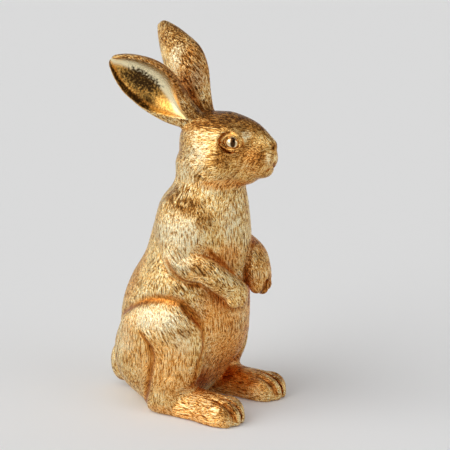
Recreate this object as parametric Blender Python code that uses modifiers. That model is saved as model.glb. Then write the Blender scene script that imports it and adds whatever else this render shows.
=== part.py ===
"""Standing rabbit figurine: gold-leafed castings pinned and glued round a hollow body.

Units are metres, +Z is up and the rabbit faces -Y.  The ground is z = 0, and the
rabbit's left side is +X.  Every casting starts from simple lumps (balls, swept
limbs and lofts) that a voxel remesh welds into one skin; its neighbours, grown by
the glue gap, are then cut out of it, so the castings meet at their creases.
"""

import math

import bmesh
import bpy
from mathutils import Matrix, Vector

MM = 0.001

# The origin lies on the table, under the middle of the figurine's bounding box
ORIGIN_SHIFT_Y = 1.6 * MM

# Fits
GLUE_GAP = 0.3 * MM
PIN_CLEARANCE = 0.3 * MM
SOCKET_CLEARANCE = 0.3 * MM

# Felt pads lift the castings just off the table
PAD_THICKNESS = 1.5 * MM
PAD_PROUD = 0.5 * MM
FOOT_PAD_RADIUS = 9.0 * MM
BASE_PAD_RADIUS = 18.5 * MM
BASE_CENTRE_Y = 16.0 * MM
FOOT_PAD_Y = -38.0 * MM

# Body casting, up into the neck that it shares with the head
NECK_JOINT_Z = 189.0 * MM
BODY_SECTIONS = [
    # height, middle, half depth, half width
    (0.0 * MM, 22.0 * MM, 30.0 * MM, 31.0 * MM),
    (14.0 * MM, 20.0 * MM, 41.0 * MM, 37.0 * MM),
    (31.0 * MM, 15.0 * MM, 47.0 * MM, 41.0 * MM),
    (48.0 * MM, 9.0 * MM, 52.0 * MM, 44.0 * MM),
    (65.0 * MM, 6.0 * MM, 54.0 * MM, 45.0 * MM),
    (83.0 * MM, 4.0 * MM, 53.0 * MM, 45.0 * MM),
    (103.0 * MM, 0.0 * MM, 49.0 * MM, 43.0 * MM),
    (123.0 * MM, -7.0 * MM, 44.0 * MM, 39.0 * MM),
    (148.0 * MM, -11.0 * MM, 39.5 * MM, 36.0 * MM),
    (168.0 * MM, -14.0 * MM, 36.5 * MM, 30.5 * MM),
    (NECK_JOINT_Z - 6.0 * MM, -17.5 * MM, 31.5 * MM, 26.5 * MM),
    (NECK_JOINT_Z + 14.0 * MM, -17.0 * MM, 28.5 * MM, 24.0 * MM),
]
NECK_SECTIONS = 3
BODY_WALL = 7.0 * MM
CAVITY_TOP = 152.0 * MM
FILL_HOLE_RADIUS = 13.0 * MM
PLUG_BEVEL = 0.8 * MM

# Head casting, placed from the neck joint
HEAD_RISE = 28.5 * MM
HEAD_CENTRE = Vector((0.0, -27.0 * MM, NECK_JOINT_Z + HEAD_RISE))
SKULL_RADII = Vector((24.5, 33.5, 24.0)) * MM
HEAD_LUMPS = [
    # offset from the middle of the skull, radii; lumps off the midline come in pairs
    ((12.0, -7.0, -11.5), (14.0, 20.0, 17.0)),
    ((10.0, -13.0, 9.5), (9.0, 14.0, 7.5)),
    ((6.0, -40.5, -11.0), (7.4, 10.0, 9.8)),
    ((0.0, -29.0, -7.5), (14.5, 21.5, 15.0)),
    ((0.0, -37.0, -20.5), (8.0, 9.0, 5.5)),
    ((0.0, 7.0, -16.5), (24.0, 30.0, 24.0)),
    ((0.0, -49.5, -1.5), (4.4, 3.4, 4.0)),
]
NOSE_BRIDGE = [(0.0, -10.0, 13.0), (0.0, -28.0, 10.5), (0.0, -45.5, 2.0)]
NOSE_BRIDGE_RADII = [10.0, 9.0, 6.0]
NECK_DOWEL_RADIUS = 5.0 * MM
NECK_DOWEL_DEPTH = 22.0 * MM

# Eyes: shallow domes set in sockets, from the middle of the skull
EYE_OFFSET = Vector((17.6, -21.5, 5.0)) * MM
EYE_RADIUS = 6.0 * MM
EYE_DOME = 4.2 * MM

# Ears: base and tip from the middle of the skull, and the way the hollow faces
EAR_BASE = Vector((11.0, 19.0, 17.5)) * MM
EAR_TIPS = {
    "left": Vector((26.0, 69.0, 85.5)) * MM,
    "right": Vector((-37.0, 77.5, 65.0)) * MM,
}
EAR_OPENINGS = {
    "left": Vector((1.0, -0.2, -0.1)),
    "right": Vector((-0.93, -0.14, -0.33)),
}
EAR_SECTIONS = {
    # share of the length, half width, depth, sideways bow
    "left": [
        (-0.15, 8.0 * MM, 8.0 * MM, 0.0 * MM),
        (0.0, 10.5 * MM, 10.0 * MM, 0.0 * MM),
        (0.15, 13.5 * MM, 11.5 * MM, -0.8 * MM),
        (0.35, 18.2 * MM, 12.5 * MM, -2.8 * MM),
        (0.55, 19.7 * MM, 12.0 * MM, -3.3 * MM),
        (0.75, 16.4 * MM, 9.5 * MM, -2.0 * MM),
        (0.9, 10.2 * MM, 6.5 * MM, -0.6 * MM),
        (1.0, 3.6 * MM, 2.5 * MM, 0.4 * MM),
    ],
    "right": [
        (-0.15, 8.0 * MM, 8.0 * MM, 0.0 * MM),
        (0.0, 10.5 * MM, 10.0 * MM, 0.0 * MM),
        (0.15, 14.0 * MM, 11.5 * MM, -0.8 * MM),
        (0.35, 19.2 * MM, 13.0 * MM, -2.8 * MM),
        (0.55, 21.0 * MM, 13.5 * MM, -3.3 * MM),
        (0.75, 17.6 * MM, 11.0 * MM, -2.0 * MM),
        (0.9, 11.0 * MM, 7.5 * MM, -0.6 * MM),
        (1.0, 4.2 * MM, 3.0 * MM, 0.4 * MM),
    ],
}
EAR_WALL = 2.7 * MM
EAR_RIM = 3.0 * MM
EAR_HOLLOW_START = 0.13
EAR_HOLLOW_FULL = 0.33
EAR_LEAST_OPEN = 0.02
EAR_LEAST_INNER_WIDTH = 0.45
EAR_LEAST_INNER_DEPTH = 0.3
EAR_TIP_ANGLE = math.radians(135.0)
EAR_PIN_RADIUS = 1.6 * MM
EAR_PIN_IN_HEAD = 11.0 * MM
EAR_PIN_IN_EAR = 6.0 * MM

# Forelegs: a swept limb from the shoulder to the paw, and the shoulder's own lump
SHOULDER_Z = 150.0 * MM
SHOULDER_SINK = 10.0 * MM
SHOULDER_BACK = 3.0 * MM
SHOULDER_RADII = Vector((15.0, 22.0, 30.0)) * MM
FORELEG_PATHS = {
    # offsets from the shoulder; the first point is the upper arm
    "right": [(-1.0, 2.0, 2.0), (-7.0, -4.0, -25.0), (-7.0, -25.0, -29.0), (-3.0, -40.0, -38.0), (3.0, -47.5, -45.5)],
    "left": [(2.0, 2.0, -6.0), (6.0, -6.0, -18.0), (1.0, -24.0, -22.0), (-7.0, -40.0, -27.0), (-9.0, -46.0, -37.0),
             (-9.0, -48.0, -43.0)],
}
FORELEG_RADII = {
    "right": [16.0, 15.0, 13.5, 11.5, 10.5],
    "left": [15.0, 14.0, 12.0, 10.5, 9.5, 9.0],
}
PAW_TOES = {
    # offset from the shoulder of each toe's end
    "right": [(-3.5, -50.5, -51.5), (2.5, -52.5, -50.5), (8.0, -51.5, -49.0)],
    "left": [(-14.5, -49.0, -50.5), (-9.0, -51.0, -52.0), (-3.5, -49.0, -50.5)],
}
PAW_TOE_RADII = Vector((4.6, 6.0, 6.0)) * MM
LIMB_PIN_RADIUS = 1.5 * MM
LIMB_PIN_IN_BODY = 5.0 * MM
FORELEG_PIN_IN_LIMB = 4.0 * MM

# Hind legs: lumps of the haunch round the hip, and of the foot and toes along its middle line
HIP = Vector((36.0, 4.0, 55.0)) * MM
HAUNCH_LUMPS = [
    # offset from the hip, x outwards; radii
    ((0.0, 0.0, 0.0), (16.5, 37.0, 43.5)),
    ((0.0, -4.0, -24.0), (16.5, 22.0, 26.0)),
    ((-12.0, 23.0, -12.5), (26.0, 28.0, 38.5)),
]
FOOT_CENTRE_X = 34.0 * MM
TOE_RADII = (4.9, 12.5, 13.5)
FOOT_LUMPS = [
    # offset from the middle line, x outwards; radii
    ((-0.5, 4.0, 12.5), (17.0, 19.0, 17.0)),
    ((-0.5, -20.0, 6.5), (16.0, 34.0, 17.0)),
    ((0.0, -46.0, 6.5), (17.5, 22.0, 16.5)),
    ((-11.8, -53.0, 6.5), TOE_RADII),
    ((-4.0, -57.5, 6.5), TOE_RADII),
    ((4.0, -58.0, 6.5), TOE_RADII),
    ((11.8, -54.0, 6.5), TOE_RADII),
]
HIND_PIN_Y = 8.0 * MM
HIND_PIN_HEIGHTS = {"upper": 74.0 * MM, "lower": 42.0 * MM}
HIND_PIN_IN_LIMB = 4.5 * MM

# Tail
TAIL_Z = 22.0 * MM
TAIL_RADII = Vector((12.0, 11.0, 18.0)) * MM
TAIL_SINK = 8.0 * MM
TAIL_PIN_IN_TAIL = 8.0 * MM

# Surface work
VOXEL = 2.0 * MM
SMOOTHING = {"body": 8, "head": 6, "foreleg": 5, "hind_leg": 5, "tail": 2}
KEPT_TRIANGLES = {"body": 0.062, "head": 0.15, "foreleg": 0.11, "hind_leg": 0.08, "tail": 0.22}
SHARP_ANGLE = math.radians(40.0)
STATIONS_A_SECTION = 2
BALLS_A_LIMB_POINT = 6
BALL_SIDES = 28
BODY_SIDES = 32
HOLLOW_SIDES = 16
EAR_SIDES = 9
ROUND_SIDES = 24
PIN_SIDES = 12
EYE_SIDES = 14

# Cutters reach well past the figurine
CUTTER_WIDTH = 400.0 * MM
CUTTER_HEIGHT = 120.0 * MM


# Helpers: places

def smooth_values(values, count):
    """Catmull-Rom values through a list of numbers or vectors."""
    result = []
    last = len(values) - 1
    for step in range(count * last + 1):
        place = min(step / count, last - 1e-9)
        index = int(place)
        t = place - index
        p1, p2 = values[index], values[index + 1]
        p0 = values[index - 1] if index else p1 * 2 - p2
        p3 = values[index + 2] if index + 2 <= last else p2 * 2 - p1
        result.append((p1 * 2 + (p2 - p0) * t + (p0 * 2 - p1 * 5 + p2 * 4 - p3) * t * t
                       + (p1 * 3 - p0 - p2 * 3 + p3) * t * t * t) * 0.5)
    return result


def body_stations():
    """Sections of the body's smooth skin, closer together than BODY_SECTIONS."""
    return smooth_values([Vector(section) for section in BODY_SECTIONS], STATIONS_A_SECTION)


def body_section(height):
    """Middle, half depth and half width of the body's skin at a height."""
    stations = body_stations()
    for low, high in zip(stations, stations[1:]):
        if height <= high[0]:
            share = (height - low[0]) / (high[0] - low[0])
            return low.lerp(high, share)[1:]
    return stations[-1][1:]


def body_side_x(y, height):
    """Half width of the body at a place along its depth."""
    middle, depth, width = body_section(height)
    return width * math.sqrt(max(0.0, 1.0 - ((y - middle) / depth) ** 2))


# Helpers: mesh building

def add_ball(bm, centre, radii):
    matrix = Matrix.Translation(Vector(centre)) @ Matrix.Diagonal(Vector(radii)).to_4x4()
    bmesh.ops.create_uvsphere(bm, u_segments=BALL_SIDES, v_segments=BALL_SIDES * 2 // 3, radius=1.0, matrix=matrix)


def add_limb(bm, points, radii):
    """Overlapping balls along a smooth line, which the remesh welds into a limb."""
    line = smooth_values([Vector(p) for p in points], BALLS_A_LIMB_POINT)
    sizes = smooth_values(list(radii), BALLS_A_LIMB_POINT)
    for place, size in zip(line, sizes):
        add_ball(bm, place, (size, size, size))


def add_loft(bm, rings):
    """Closed skin over rings with equal counts of points, capped at both ends."""
    rows = [[bm.verts.new(point) for point in ring] for ring in rings]
    count = len(rows[0])
    for lower, upper in zip(rows, rows[1:]):
        for i in range(count):
            j = (i + 1) % count
            bm.faces.new((lower[i], lower[j], upper[j], upper[i]))
    bm.faces.new(list(reversed(rows[0])))
    bm.faces.new(rows[-1])


def body_rings(inset, bottom, top, sides):
    """Elliptical rings of the body from one height up to another, drawn in by an inset."""
    between = [station[0] for station in body_stations() if bottom < station[0] < top]
    rings = []
    for height in [bottom, *between, top]:
        middle, depth, width = body_section(height)
        ring = []
        for k in range(sides):
            a = 2.0 * math.pi * k / sides
            ring.append(Vector(((width - inset) * math.cos(a), middle + (depth - inset) * math.sin(a), height)))
        rings.append(ring)
    return rings


# Helpers: objects

def clear_scene():
    for obj in list(bpy.data.objects):
        bpy.data.objects.remove(obj, do_unlink=True)
    for name in ("standing_rabbit_figurine", "cutters"):
        old = bpy.data.collections.get(name)
        if old:
            bpy.data.collections.remove(old)
        bpy.context.scene.collection.children.link(bpy.data.collections.new(name))


def material(name, colour, roughness, metallic):
    mat = bpy.data.materials.new(name)
    mat.use_nodes = True
    shader = mat.node_tree.nodes["Principled BSDF"]
    shader.inputs["Base Color"].default_value = (*colour, 1.0)
    shader.inputs["Roughness"].default_value = roughness
    shader.inputs["Metallic"].default_value = metallic
    mat.diffuse_color = (*colour, 1.0)
    return mat


def new_object(name, mesh, place, cutter=False):
    """Object at a place whose mesh was drawn in world coordinates."""
    mesh.transform(Matrix.Translation(-Vector(place)))
    obj = bpy.data.objects.new(name, mesh)
    obj.location = place
    obj.parent = bpy.data.objects["rabbit"]
    bpy.data.collections["cutters" if cutter else "standing_rabbit_figurine"].objects.link(obj)
    if cutter:
        obj.hide_render = True
        obj.display_type = "WIRE"
    return obj


def mesh_from(bm, name):
    bmesh.ops.recalc_face_normals(bm, faces=bm.faces)
    mesh = bpy.data.meshes.new(name)
    bm.to_mesh(mesh)
    bm.free()
    return mesh


def give_material(obj, mat):
    obj.data.materials.clear()
    obj.data.materials.append(mat)


def sculpt(obj, kind):
    """Weld the lumps of an object into one soft skin and thin its triangles."""
    weld = obj.modifiers.new("weld lumps", "REMESH")
    weld.mode = "VOXEL"
    weld.voxel_size = VOXEL
    weld.use_smooth_shade = True
    soften = obj.modifiers.new("soften", "SMOOTH")
    soften.factor = 0.5
    soften.iterations = SMOOTHING[kind]
    thin = obj.modifiers.new("thin", "DECIMATE")
    thin.ratio = KEPT_TRIANGLES[kind]


def grown_cutter(obj):
    """Cutter that repeats an object's welded skin, larger by the glue gap."""
    cutter = obj.copy()
    cutter.name = obj.name + "_grown"
    for modifier in list(cutter.modifiers):
        if modifier.type == "BOOLEAN":
            cutter.modifiers.remove(modifier)
    bpy.data.collections["cutters"].objects.link(cutter)
    cutter.hide_render = True
    cutter.display_type = "WIRE"
    grow = cutter.modifiers.new("glue gap", "DISPLACE")
    grow.strength = GLUE_GAP
    grow.mid_level = 0.0
    return cutter


def cut(obj, cutter):
    modifier = obj.modifiers.new("cut " + cutter.name, "BOOLEAN")
    modifier.operation = "DIFFERENCE"
    modifier.solver = "EXACT"
    modifier.object = cutter


def block(name, z_low, z_high):
    """Wide box cutter between two heights."""
    bm = bmesh.new()
    size = Matrix.Diagonal((CUTTER_WIDTH, CUTTER_WIDTH, z_high - z_low, 1.0))
    matrix = Matrix.Translation((0.0, 0.0, (z_low + z_high) / 2)) @ size
    bmesh.ops.create_cube(bm, size=1.0, matrix=matrix)
    return new_object(name, mesh_from(bm, name), (0.0, 0.0, (z_low + z_high) / 2), cutter=True)


def rod(name, start, end, radius, cutter=False, bevel=0.0, sides=ROUND_SIDES):
    """Cylinder between two points."""
    start, end = Vector(start), Vector(end)
    turn = (end - start).to_track_quat("Z", "Y").to_matrix().to_4x4()
    bm = bmesh.new()
    bmesh.ops.create_cone(bm, cap_ends=True, segments=sides, radius1=radius, radius2=radius,
                          depth=(end - start).length, matrix=Matrix.Translation((start + end) / 2) @ turn)
    mesh = mesh_from(bm, name)
    mesh.shade_smooth()
    mesh.set_sharp_from_angle(angle=SHARP_ANGLE)
    obj = new_object(name, mesh, (start + end) / 2, cutter=cutter)
    if bevel:
        edge = obj.modifiers.new("eased edge", "BEVEL")
        edge.width = bevel
        edge.segments = 1
    return obj


def pinned(name, start, end, radius, mat, joined):
    """Pin between two castings, and its bore in each of them."""
    pin = rod(name, start, end, radius, sides=PIN_SIDES)
    give_material(pin, mat)
    reach = (Vector(end) - Vector(start)).normalized() * PIN_CLEARANCE
    bore = rod(name + "_bore", Vector(start) - reach, Vector(end) + reach, radius + PIN_CLEARANCE, cutter=True,
               sides=PIN_SIDES)
    for casting in joined:
        cut(casting, bore)
    return pin


# Castings

def make_body(gold, ground, above_neck):
    bm = bmesh.new()
    add_loft(bm, body_rings(0.0, 0.0, BODY_SECTIONS[-1][0], BODY_SIDES))
    body = new_object("body", mesh_from(bm, "body"), (0.0, BASE_CENTRE_Y, 0.0))
    give_material(body, gold)
    sculpt(body, "body")
    grown = grown_cutter(body)
    cut(body, ground)
    cut(body, above_neck)
    return body, grown


def hollow_body(body):
    """Casting's hollow and the hole that it was filled through."""
    bm = bmesh.new()
    add_loft(bm, body_rings(BODY_WALL, BODY_WALL, CAVITY_TOP, HOLLOW_SIDES))
    hollow = new_object("body_hollow", mesh_from(bm, "body_hollow"), (0.0, BASE_CENTRE_Y, 0.0), cutter=True)
    cut(body, hollow)
    hole = rod("fill_hole", (0.0, BASE_CENTRE_Y, -BODY_WALL), (0.0, BASE_CENTRE_Y, 2.5 * BODY_WALL),
               FILL_HOLE_RADIUS, cutter=True)
    cut(body, hole)


def make_head(gold, below_neck):
    bm = bmesh.new()
    add_ball(bm, HEAD_CENTRE, SKULL_RADII)
    for offset, radii in HEAD_LUMPS:
        for side in ((-1, 1) if offset[0] else (1,)):
            add_ball(bm, HEAD_CENTRE + Vector((side * offset[0], offset[1], offset[2])) * MM, Vector(radii) * MM)
    add_limb(bm, [HEAD_CENTRE + Vector(p) * MM for p in NOSE_BRIDGE], [r * MM for r in NOSE_BRIDGE_RADII])
    add_loft(bm, body_rings(0.0, BODY_SECTIONS[-NECK_SECTIONS][0], BODY_SECTIONS[-1][0], BODY_SIDES))
    head = new_object("head", mesh_from(bm, "head"), HEAD_CENTRE)
    give_material(head, gold)
    sculpt(head, "head")
    grown = grown_cutter(head)
    cut(head, below_neck)
    return head, grown


def make_eye(side_name, side, head, gloss):
    centre = HEAD_CENTRE + Vector((side * EYE_OFFSET.x, EYE_OFFSET.y, EYE_OFFSET.z))
    radii = Vector((EYE_DOME, EYE_RADIUS, EYE_RADIUS))
    bm = bmesh.new()
    matrix = Matrix.Translation(centre) @ Matrix.Diagonal(radii).to_4x4() @ Matrix.Rotation(math.pi / 2, 4, "Y")
    bmesh.ops.create_uvsphere(bm, u_segments=EYE_SIDES, v_segments=EYE_SIDES // 2, radius=1.0, matrix=matrix)
    mesh = mesh_from(bm, "eye_" + side_name)
    mesh.shade_smooth()
    eye = new_object("eye_" + side_name, mesh, centre)
    give_material(eye, gloss)
    bm = bmesh.new()
    room = radii + Vector((SOCKET_CLEARANCE,) * 3)
    matrix = Matrix.Translation(centre) @ Matrix.Diagonal(room).to_4x4() @ Matrix.Rotation(math.pi / 2, 4, "Y")
    bmesh.ops.create_uvsphere(bm, u_segments=EYE_SIDES, v_segments=EYE_SIDES // 2, radius=1.0, matrix=matrix)
    cut(head, new_object("eye_socket_" + side_name, mesh_from(bm, "eye_socket"), centre, cutter=True))


def ear_ring(half_width, depth, openness):
    """Crescent outline: round the back of the ear, then back through its hollow."""
    rim_angle = math.acos(-EAR_RIM / depth) if depth > EAR_RIM else EAR_TIP_ANGLE
    outline = []
    for k in range(EAR_SIDES + 1):
        a = rim_angle * (2.0 * k / EAR_SIDES - 1.0)
        outline.append((half_width * math.sin(a), -depth * math.cos(a)))
    rim = outline[0][1]
    inner_half = max(half_width - EAR_WALL, EAR_LEAST_INNER_WIDTH * half_width)
    inner_depth = max(rim + depth - EAR_WALL, EAR_LEAST_INNER_DEPTH * depth) * openness
    for k in range(EAR_SIDES):
        a = math.pi * (0.5 - (k + 0.5) / EAR_SIDES)
        outline.append((inner_half * math.sin(a), rim - inner_depth * math.cos(a)))
    return outline


def make_ear(side_name, side, head_grown, gold):
    base = HEAD_CENTRE + Vector((side * EAR_BASE.x, EAR_BASE.y, EAR_BASE.z))
    tip = HEAD_CENTRE + EAR_TIPS[side_name]
    along = (tip - base).normalized()
    facing = EAR_OPENINGS[side_name]
    facing = (facing - along * facing.dot(along)).normalized()
    across = along.cross(facing)
    length = (tip - base).length
    rings = []
    sections = [Vector(section) for section in EAR_SECTIONS[side_name]]
    for share, half_width, depth, bow in smooth_values(sections, STATIONS_A_SECTION):
        opened = (share - EAR_HOLLOW_START) / (EAR_HOLLOW_FULL - EAR_HOLLOW_START)
        openness = min(1.0, max(EAR_LEAST_OPEN, opened))
        middle = base + along * (share * length) + across * (side * bow)
        rings.append([middle + across * a + facing * b for a, b in ear_ring(half_width, depth, openness)])
    bm = bmesh.new()
    add_loft(bm, rings)
    bmesh.ops.triangulate(bm, faces=[f for f in bm.faces if len(f.verts) > 4])
    mesh = mesh_from(bm, "ear_" + side_name)
    mesh.shade_smooth()
    ear = new_object("ear_" + side_name, mesh, base)
    give_material(ear, gold)
    cut(ear, head_grown)
    return ear, base, along


def make_foreleg(side_name, side, body_grown, gold):
    middle, depth, width = body_section(SHOULDER_Z)
    shoulder = Vector((side * (width - SHOULDER_SINK), middle + SHOULDER_BACK, SHOULDER_Z))
    bm = bmesh.new()
    add_ball(bm, shoulder, SHOULDER_RADII)
    add_limb(bm, [shoulder + Vector(p) * MM for p in FORELEG_PATHS[side_name]],
             [r * MM for r in FORELEG_RADII[side_name]])
    for toe in PAW_TOES[side_name]:
        add_ball(bm, shoulder + Vector(toe) * MM, PAW_TOE_RADII)
    foreleg = new_object("foreleg_" + side_name, mesh_from(bm, "foreleg"), shoulder)
    give_material(foreleg, gold)
    sculpt(foreleg, "foreleg")
    cut(foreleg, body_grown)
    return foreleg


def make_hind_leg(side_name, side, body_grown, ground, gold):
    hip = Vector((side * HIP.x, HIP.y, HIP.z))
    foot = Vector((side * FOOT_CENTRE_X, 0.0, 0.0))
    bm = bmesh.new()
    for start, lumps in ((hip, HAUNCH_LUMPS), (foot, FOOT_LUMPS)):
        for (out, along, up), radii in lumps:
            add_ball(bm, start + Vector((side * out, along, up)) * MM, Vector(radii) * MM)
    leg = new_object("hind_leg_" + side_name, mesh_from(bm, "hind_leg"), hip)
    give_material(leg, gold)
    sculpt(leg, "hind_leg")
    cut(leg, body_grown)
    cut(leg, ground)
    return leg


def make_tail(body_grown, gold):
    middle, depth, width = body_section(TAIL_Z)
    centre = Vector((0.0, middle + depth - TAIL_SINK + TAIL_RADII.y, TAIL_Z))
    bm = bmesh.new()
    add_ball(bm, centre, TAIL_RADII)
    tail = new_object("tail", mesh_from(bm, "tail"), centre)
    give_material(tail, gold)
    sculpt(tail, "tail")
    cut(tail, body_grown)
    return tail, middle + depth


def make_pad(name, centre_x, centre_y, radius, casting, felt):
    """Felt disc in a shallow pocket, standing proud of the casting."""
    pad = rod(name, (centre_x, centre_y, 0.0), (centre_x, centre_y, PAD_THICKNESS), radius)
    give_material(pad, felt)
    pocket = rod(name + "_pocket", (centre_x, centre_y, -PAD_THICKNESS),
                 (centre_x, centre_y, PAD_THICKNESS + GLUE_GAP), radius + GLUE_GAP, cutter=True)
    cut(casting, pocket)


def main():
    clear_scene()
    root = bpy.data.objects.new("rabbit", None)
    root.location.y = ORIGIN_SHIFT_Y
    bpy.data.collections["standing_rabbit_figurine"].objects.link(root)
    gold = material("gold_leaf", (0.72, 0.47, 0.19), 0.38, 1.0)
    gloss = material("polished_gold", (0.80, 0.58, 0.28), 0.15, 1.0)
    steel = material("steel_pin", (0.55, 0.55, 0.56), 0.3, 1.0)
    wood = material("beech_dowel", (0.62, 0.44, 0.26), 0.6, 0.0)
    felt = material("brown_felt", (0.16, 0.09, 0.05), 0.95, 0.0)
    rubber = material("rubber_plug", (0.05, 0.05, 0.05), 0.8, 0.0)

    ground = block("ground_cut", PAD_PROUD - CUTTER_HEIGHT, PAD_PROUD)
    above_neck = block("above_neck_cut", NECK_JOINT_Z, NECK_JOINT_Z + CUTTER_HEIGHT)
    below_neck = block("below_neck_cut", NECK_JOINT_Z + GLUE_GAP - CUTTER_HEIGHT, NECK_JOINT_Z + GLUE_GAP)

    body, body_grown = make_body(gold, ground, above_neck)
    head, head_grown = make_head(gold, below_neck)
    hollow_body(body)

    neck_y = body_section(NECK_JOINT_Z)[0]
    pinned("neck_dowel", (0.0, neck_y, NECK_JOINT_Z - NECK_DOWEL_DEPTH),
           (0.0, neck_y, NECK_JOINT_Z + NECK_DOWEL_DEPTH), NECK_DOWEL_RADIUS, wood, (body, head))

    for side_name, side in (("left", 1), ("right", -1)):
        make_eye(side_name, side, head, gloss)
        ear, base, along = make_ear(side_name, side, head_grown, gold)
        pinned("ear_pin_" + side_name, base - along * EAR_PIN_IN_HEAD, base + along * EAR_PIN_IN_EAR,
               EAR_PIN_RADIUS, steel, (head, ear))

        foreleg = make_foreleg(side_name, side, body_grown, gold)
        elbow = foreleg.location + Vector(FORELEG_PATHS[side_name][1]) * MM
        skin_x = body_side_x(elbow.y, elbow.z)
        pinned("foreleg_pin_" + side_name, (side * (skin_x - LIMB_PIN_IN_BODY), elbow.y, elbow.z),
               (side * (skin_x + FORELEG_PIN_IN_LIMB), elbow.y, elbow.z), LIMB_PIN_RADIUS, steel, (body, foreleg))

        leg = make_hind_leg(side_name, side, body_grown, ground, gold)
        for level, height in HIND_PIN_HEIGHTS.items():
            skin_x = body_side_x(HIND_PIN_Y, height)
            pinned("hind_leg_pin_" + level + "_" + side_name,
                   (side * (skin_x - LIMB_PIN_IN_BODY), HIND_PIN_Y, height),
                   (side * (skin_x + HIND_PIN_IN_LIMB), HIND_PIN_Y, height), LIMB_PIN_RADIUS, steel, (body, leg))
        make_pad("foot_pad_" + side_name, side * FOOT_CENTRE_X, FOOT_PAD_Y, FOOT_PAD_RADIUS, leg, felt)

    tail, rump_y = make_tail(body_grown, gold)
    pinned("tail_pin", (0.0, rump_y - LIMB_PIN_IN_BODY, TAIL_Z), (0.0, rump_y + TAIL_PIN_IN_TAIL, TAIL_Z),
           LIMB_PIN_RADIUS, steel, (body, tail))

    plug = rod("base_plug", (0.0, BASE_CENTRE_Y, PAD_THICKNESS + 2 * GLUE_GAP), (0.0, BASE_CENTRE_Y, BODY_WALL),
               FILL_HOLE_RADIUS - SOCKET_CLEARANCE, bevel=PLUG_BEVEL)
    give_material(plug, rubber)
    make_pad("base_pad", 0.0, BASE_CENTRE_Y, BASE_PAD_RADIUS, body, felt)


main()
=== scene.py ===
"""Standing rabbit figurine in gold leaf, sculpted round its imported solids.

The castings are rebuilt as one form from distance fields (in millimetres, in the drawing
frame of the part), so muscles, creases, lids and toes flow into each other.  Fur is
carved into its skin as overlapping tufts that follow the lie of the coat, and the skin
is divided into one closed piece for each casting.
"""

import itertools
import math

import bmesh
import bpy
import numpy as np
import openvdb
from mathutils import Matrix, Vector


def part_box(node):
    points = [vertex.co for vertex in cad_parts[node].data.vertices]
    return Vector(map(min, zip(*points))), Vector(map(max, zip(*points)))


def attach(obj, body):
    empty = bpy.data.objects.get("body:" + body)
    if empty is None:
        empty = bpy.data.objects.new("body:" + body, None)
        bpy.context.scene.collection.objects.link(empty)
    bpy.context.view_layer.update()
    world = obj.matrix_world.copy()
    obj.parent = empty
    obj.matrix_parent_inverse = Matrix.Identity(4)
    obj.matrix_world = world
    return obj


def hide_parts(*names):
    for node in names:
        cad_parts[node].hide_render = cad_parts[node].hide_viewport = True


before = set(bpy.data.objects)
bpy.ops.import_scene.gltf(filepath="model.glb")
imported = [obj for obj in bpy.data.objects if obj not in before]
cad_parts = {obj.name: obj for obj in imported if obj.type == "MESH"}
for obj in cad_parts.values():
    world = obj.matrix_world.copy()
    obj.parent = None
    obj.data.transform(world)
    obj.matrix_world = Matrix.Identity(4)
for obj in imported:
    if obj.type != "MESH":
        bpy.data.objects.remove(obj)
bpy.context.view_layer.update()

MM = 0.001

# From the drawing frame to the part's own, which is centred
DRAWING_TO_PART = np.array((0.0, 1.6, 0.0))

# Camera, in the drawing frame
VIEW_AZIMUTH = -60.0
VIEW_ELEVATION = 15.0
VIEW_DISTANCE = 1500.0
VIEW_TARGET = np.array((-24.5, -46.0, 158.0))
PIXELS_A_MM = 1.29
PICTURE_PIXELS = 450
SENSOR_MM = 36.0

# Sculpting grid
VOXEL = 0.66
GRID_LOW = np.array((-60.0, -86.0, -2.0))
GRID_HIGH = np.array((60.0, 86.0, 309.0))
FAR = 30.0
GROUND_Z = 0.5

# Trunk: height, middle, half depth and half width of each section
TRUNK = [
    (0, 20, 24, 25), (14, 20, 39, 35), (31, 15, 47, 41), (48, 9, 52, 44), (65, 6, 54, 45), (83, 4, 53, 45),
    (103, 0, 49, 43), (123, -7, 44, 39), (148, -11, 39.5, 36), (168, -13.4, 35.9, 30.5),
    (183, -17.8, 29.2, 26.0), (203, -18.5, 27.0, 23.5),
]

# Head, from the middle of the skull
HEAD = np.array((0.0, -27.0, 217.5))
EYE = (17.3, -21.3, 5.2)
NOSE = (0.0, -48.8, -1.0)
EYE_BALL = (4.9, 5.9, 5.3)
GAZE = (0.86, -0.48, 0.16)
# Dark reflection painted on the front of each eye in the shape of a pupil: its half width and half height on
# the ball
REFLECTION_SPOT = (0.42, 0.86)
# Upper and lower lid, from the middle of the left eye: points and half thickness
LIDS = [
    ([(2.6, 8.8, -2.4), (3.7, 5.0, 3.5), (3.7, -0.4, 5.8), (2.2, -5.8, 3.8), (0.4, -8.6, -0.8)],
     [0.5, 0.85, 0.9, 0.85, 0.5]),
    ([(2.6, 8.8, -2.4), (3.4, 4.8, -4.6), (3.0, -0.4, -5.6), (1.4, -5.6, -4.2), (0.4, -8.6, -0.8)],
     [0.5, 0.7, 0.7, 0.65, 0.5]),
]

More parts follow.
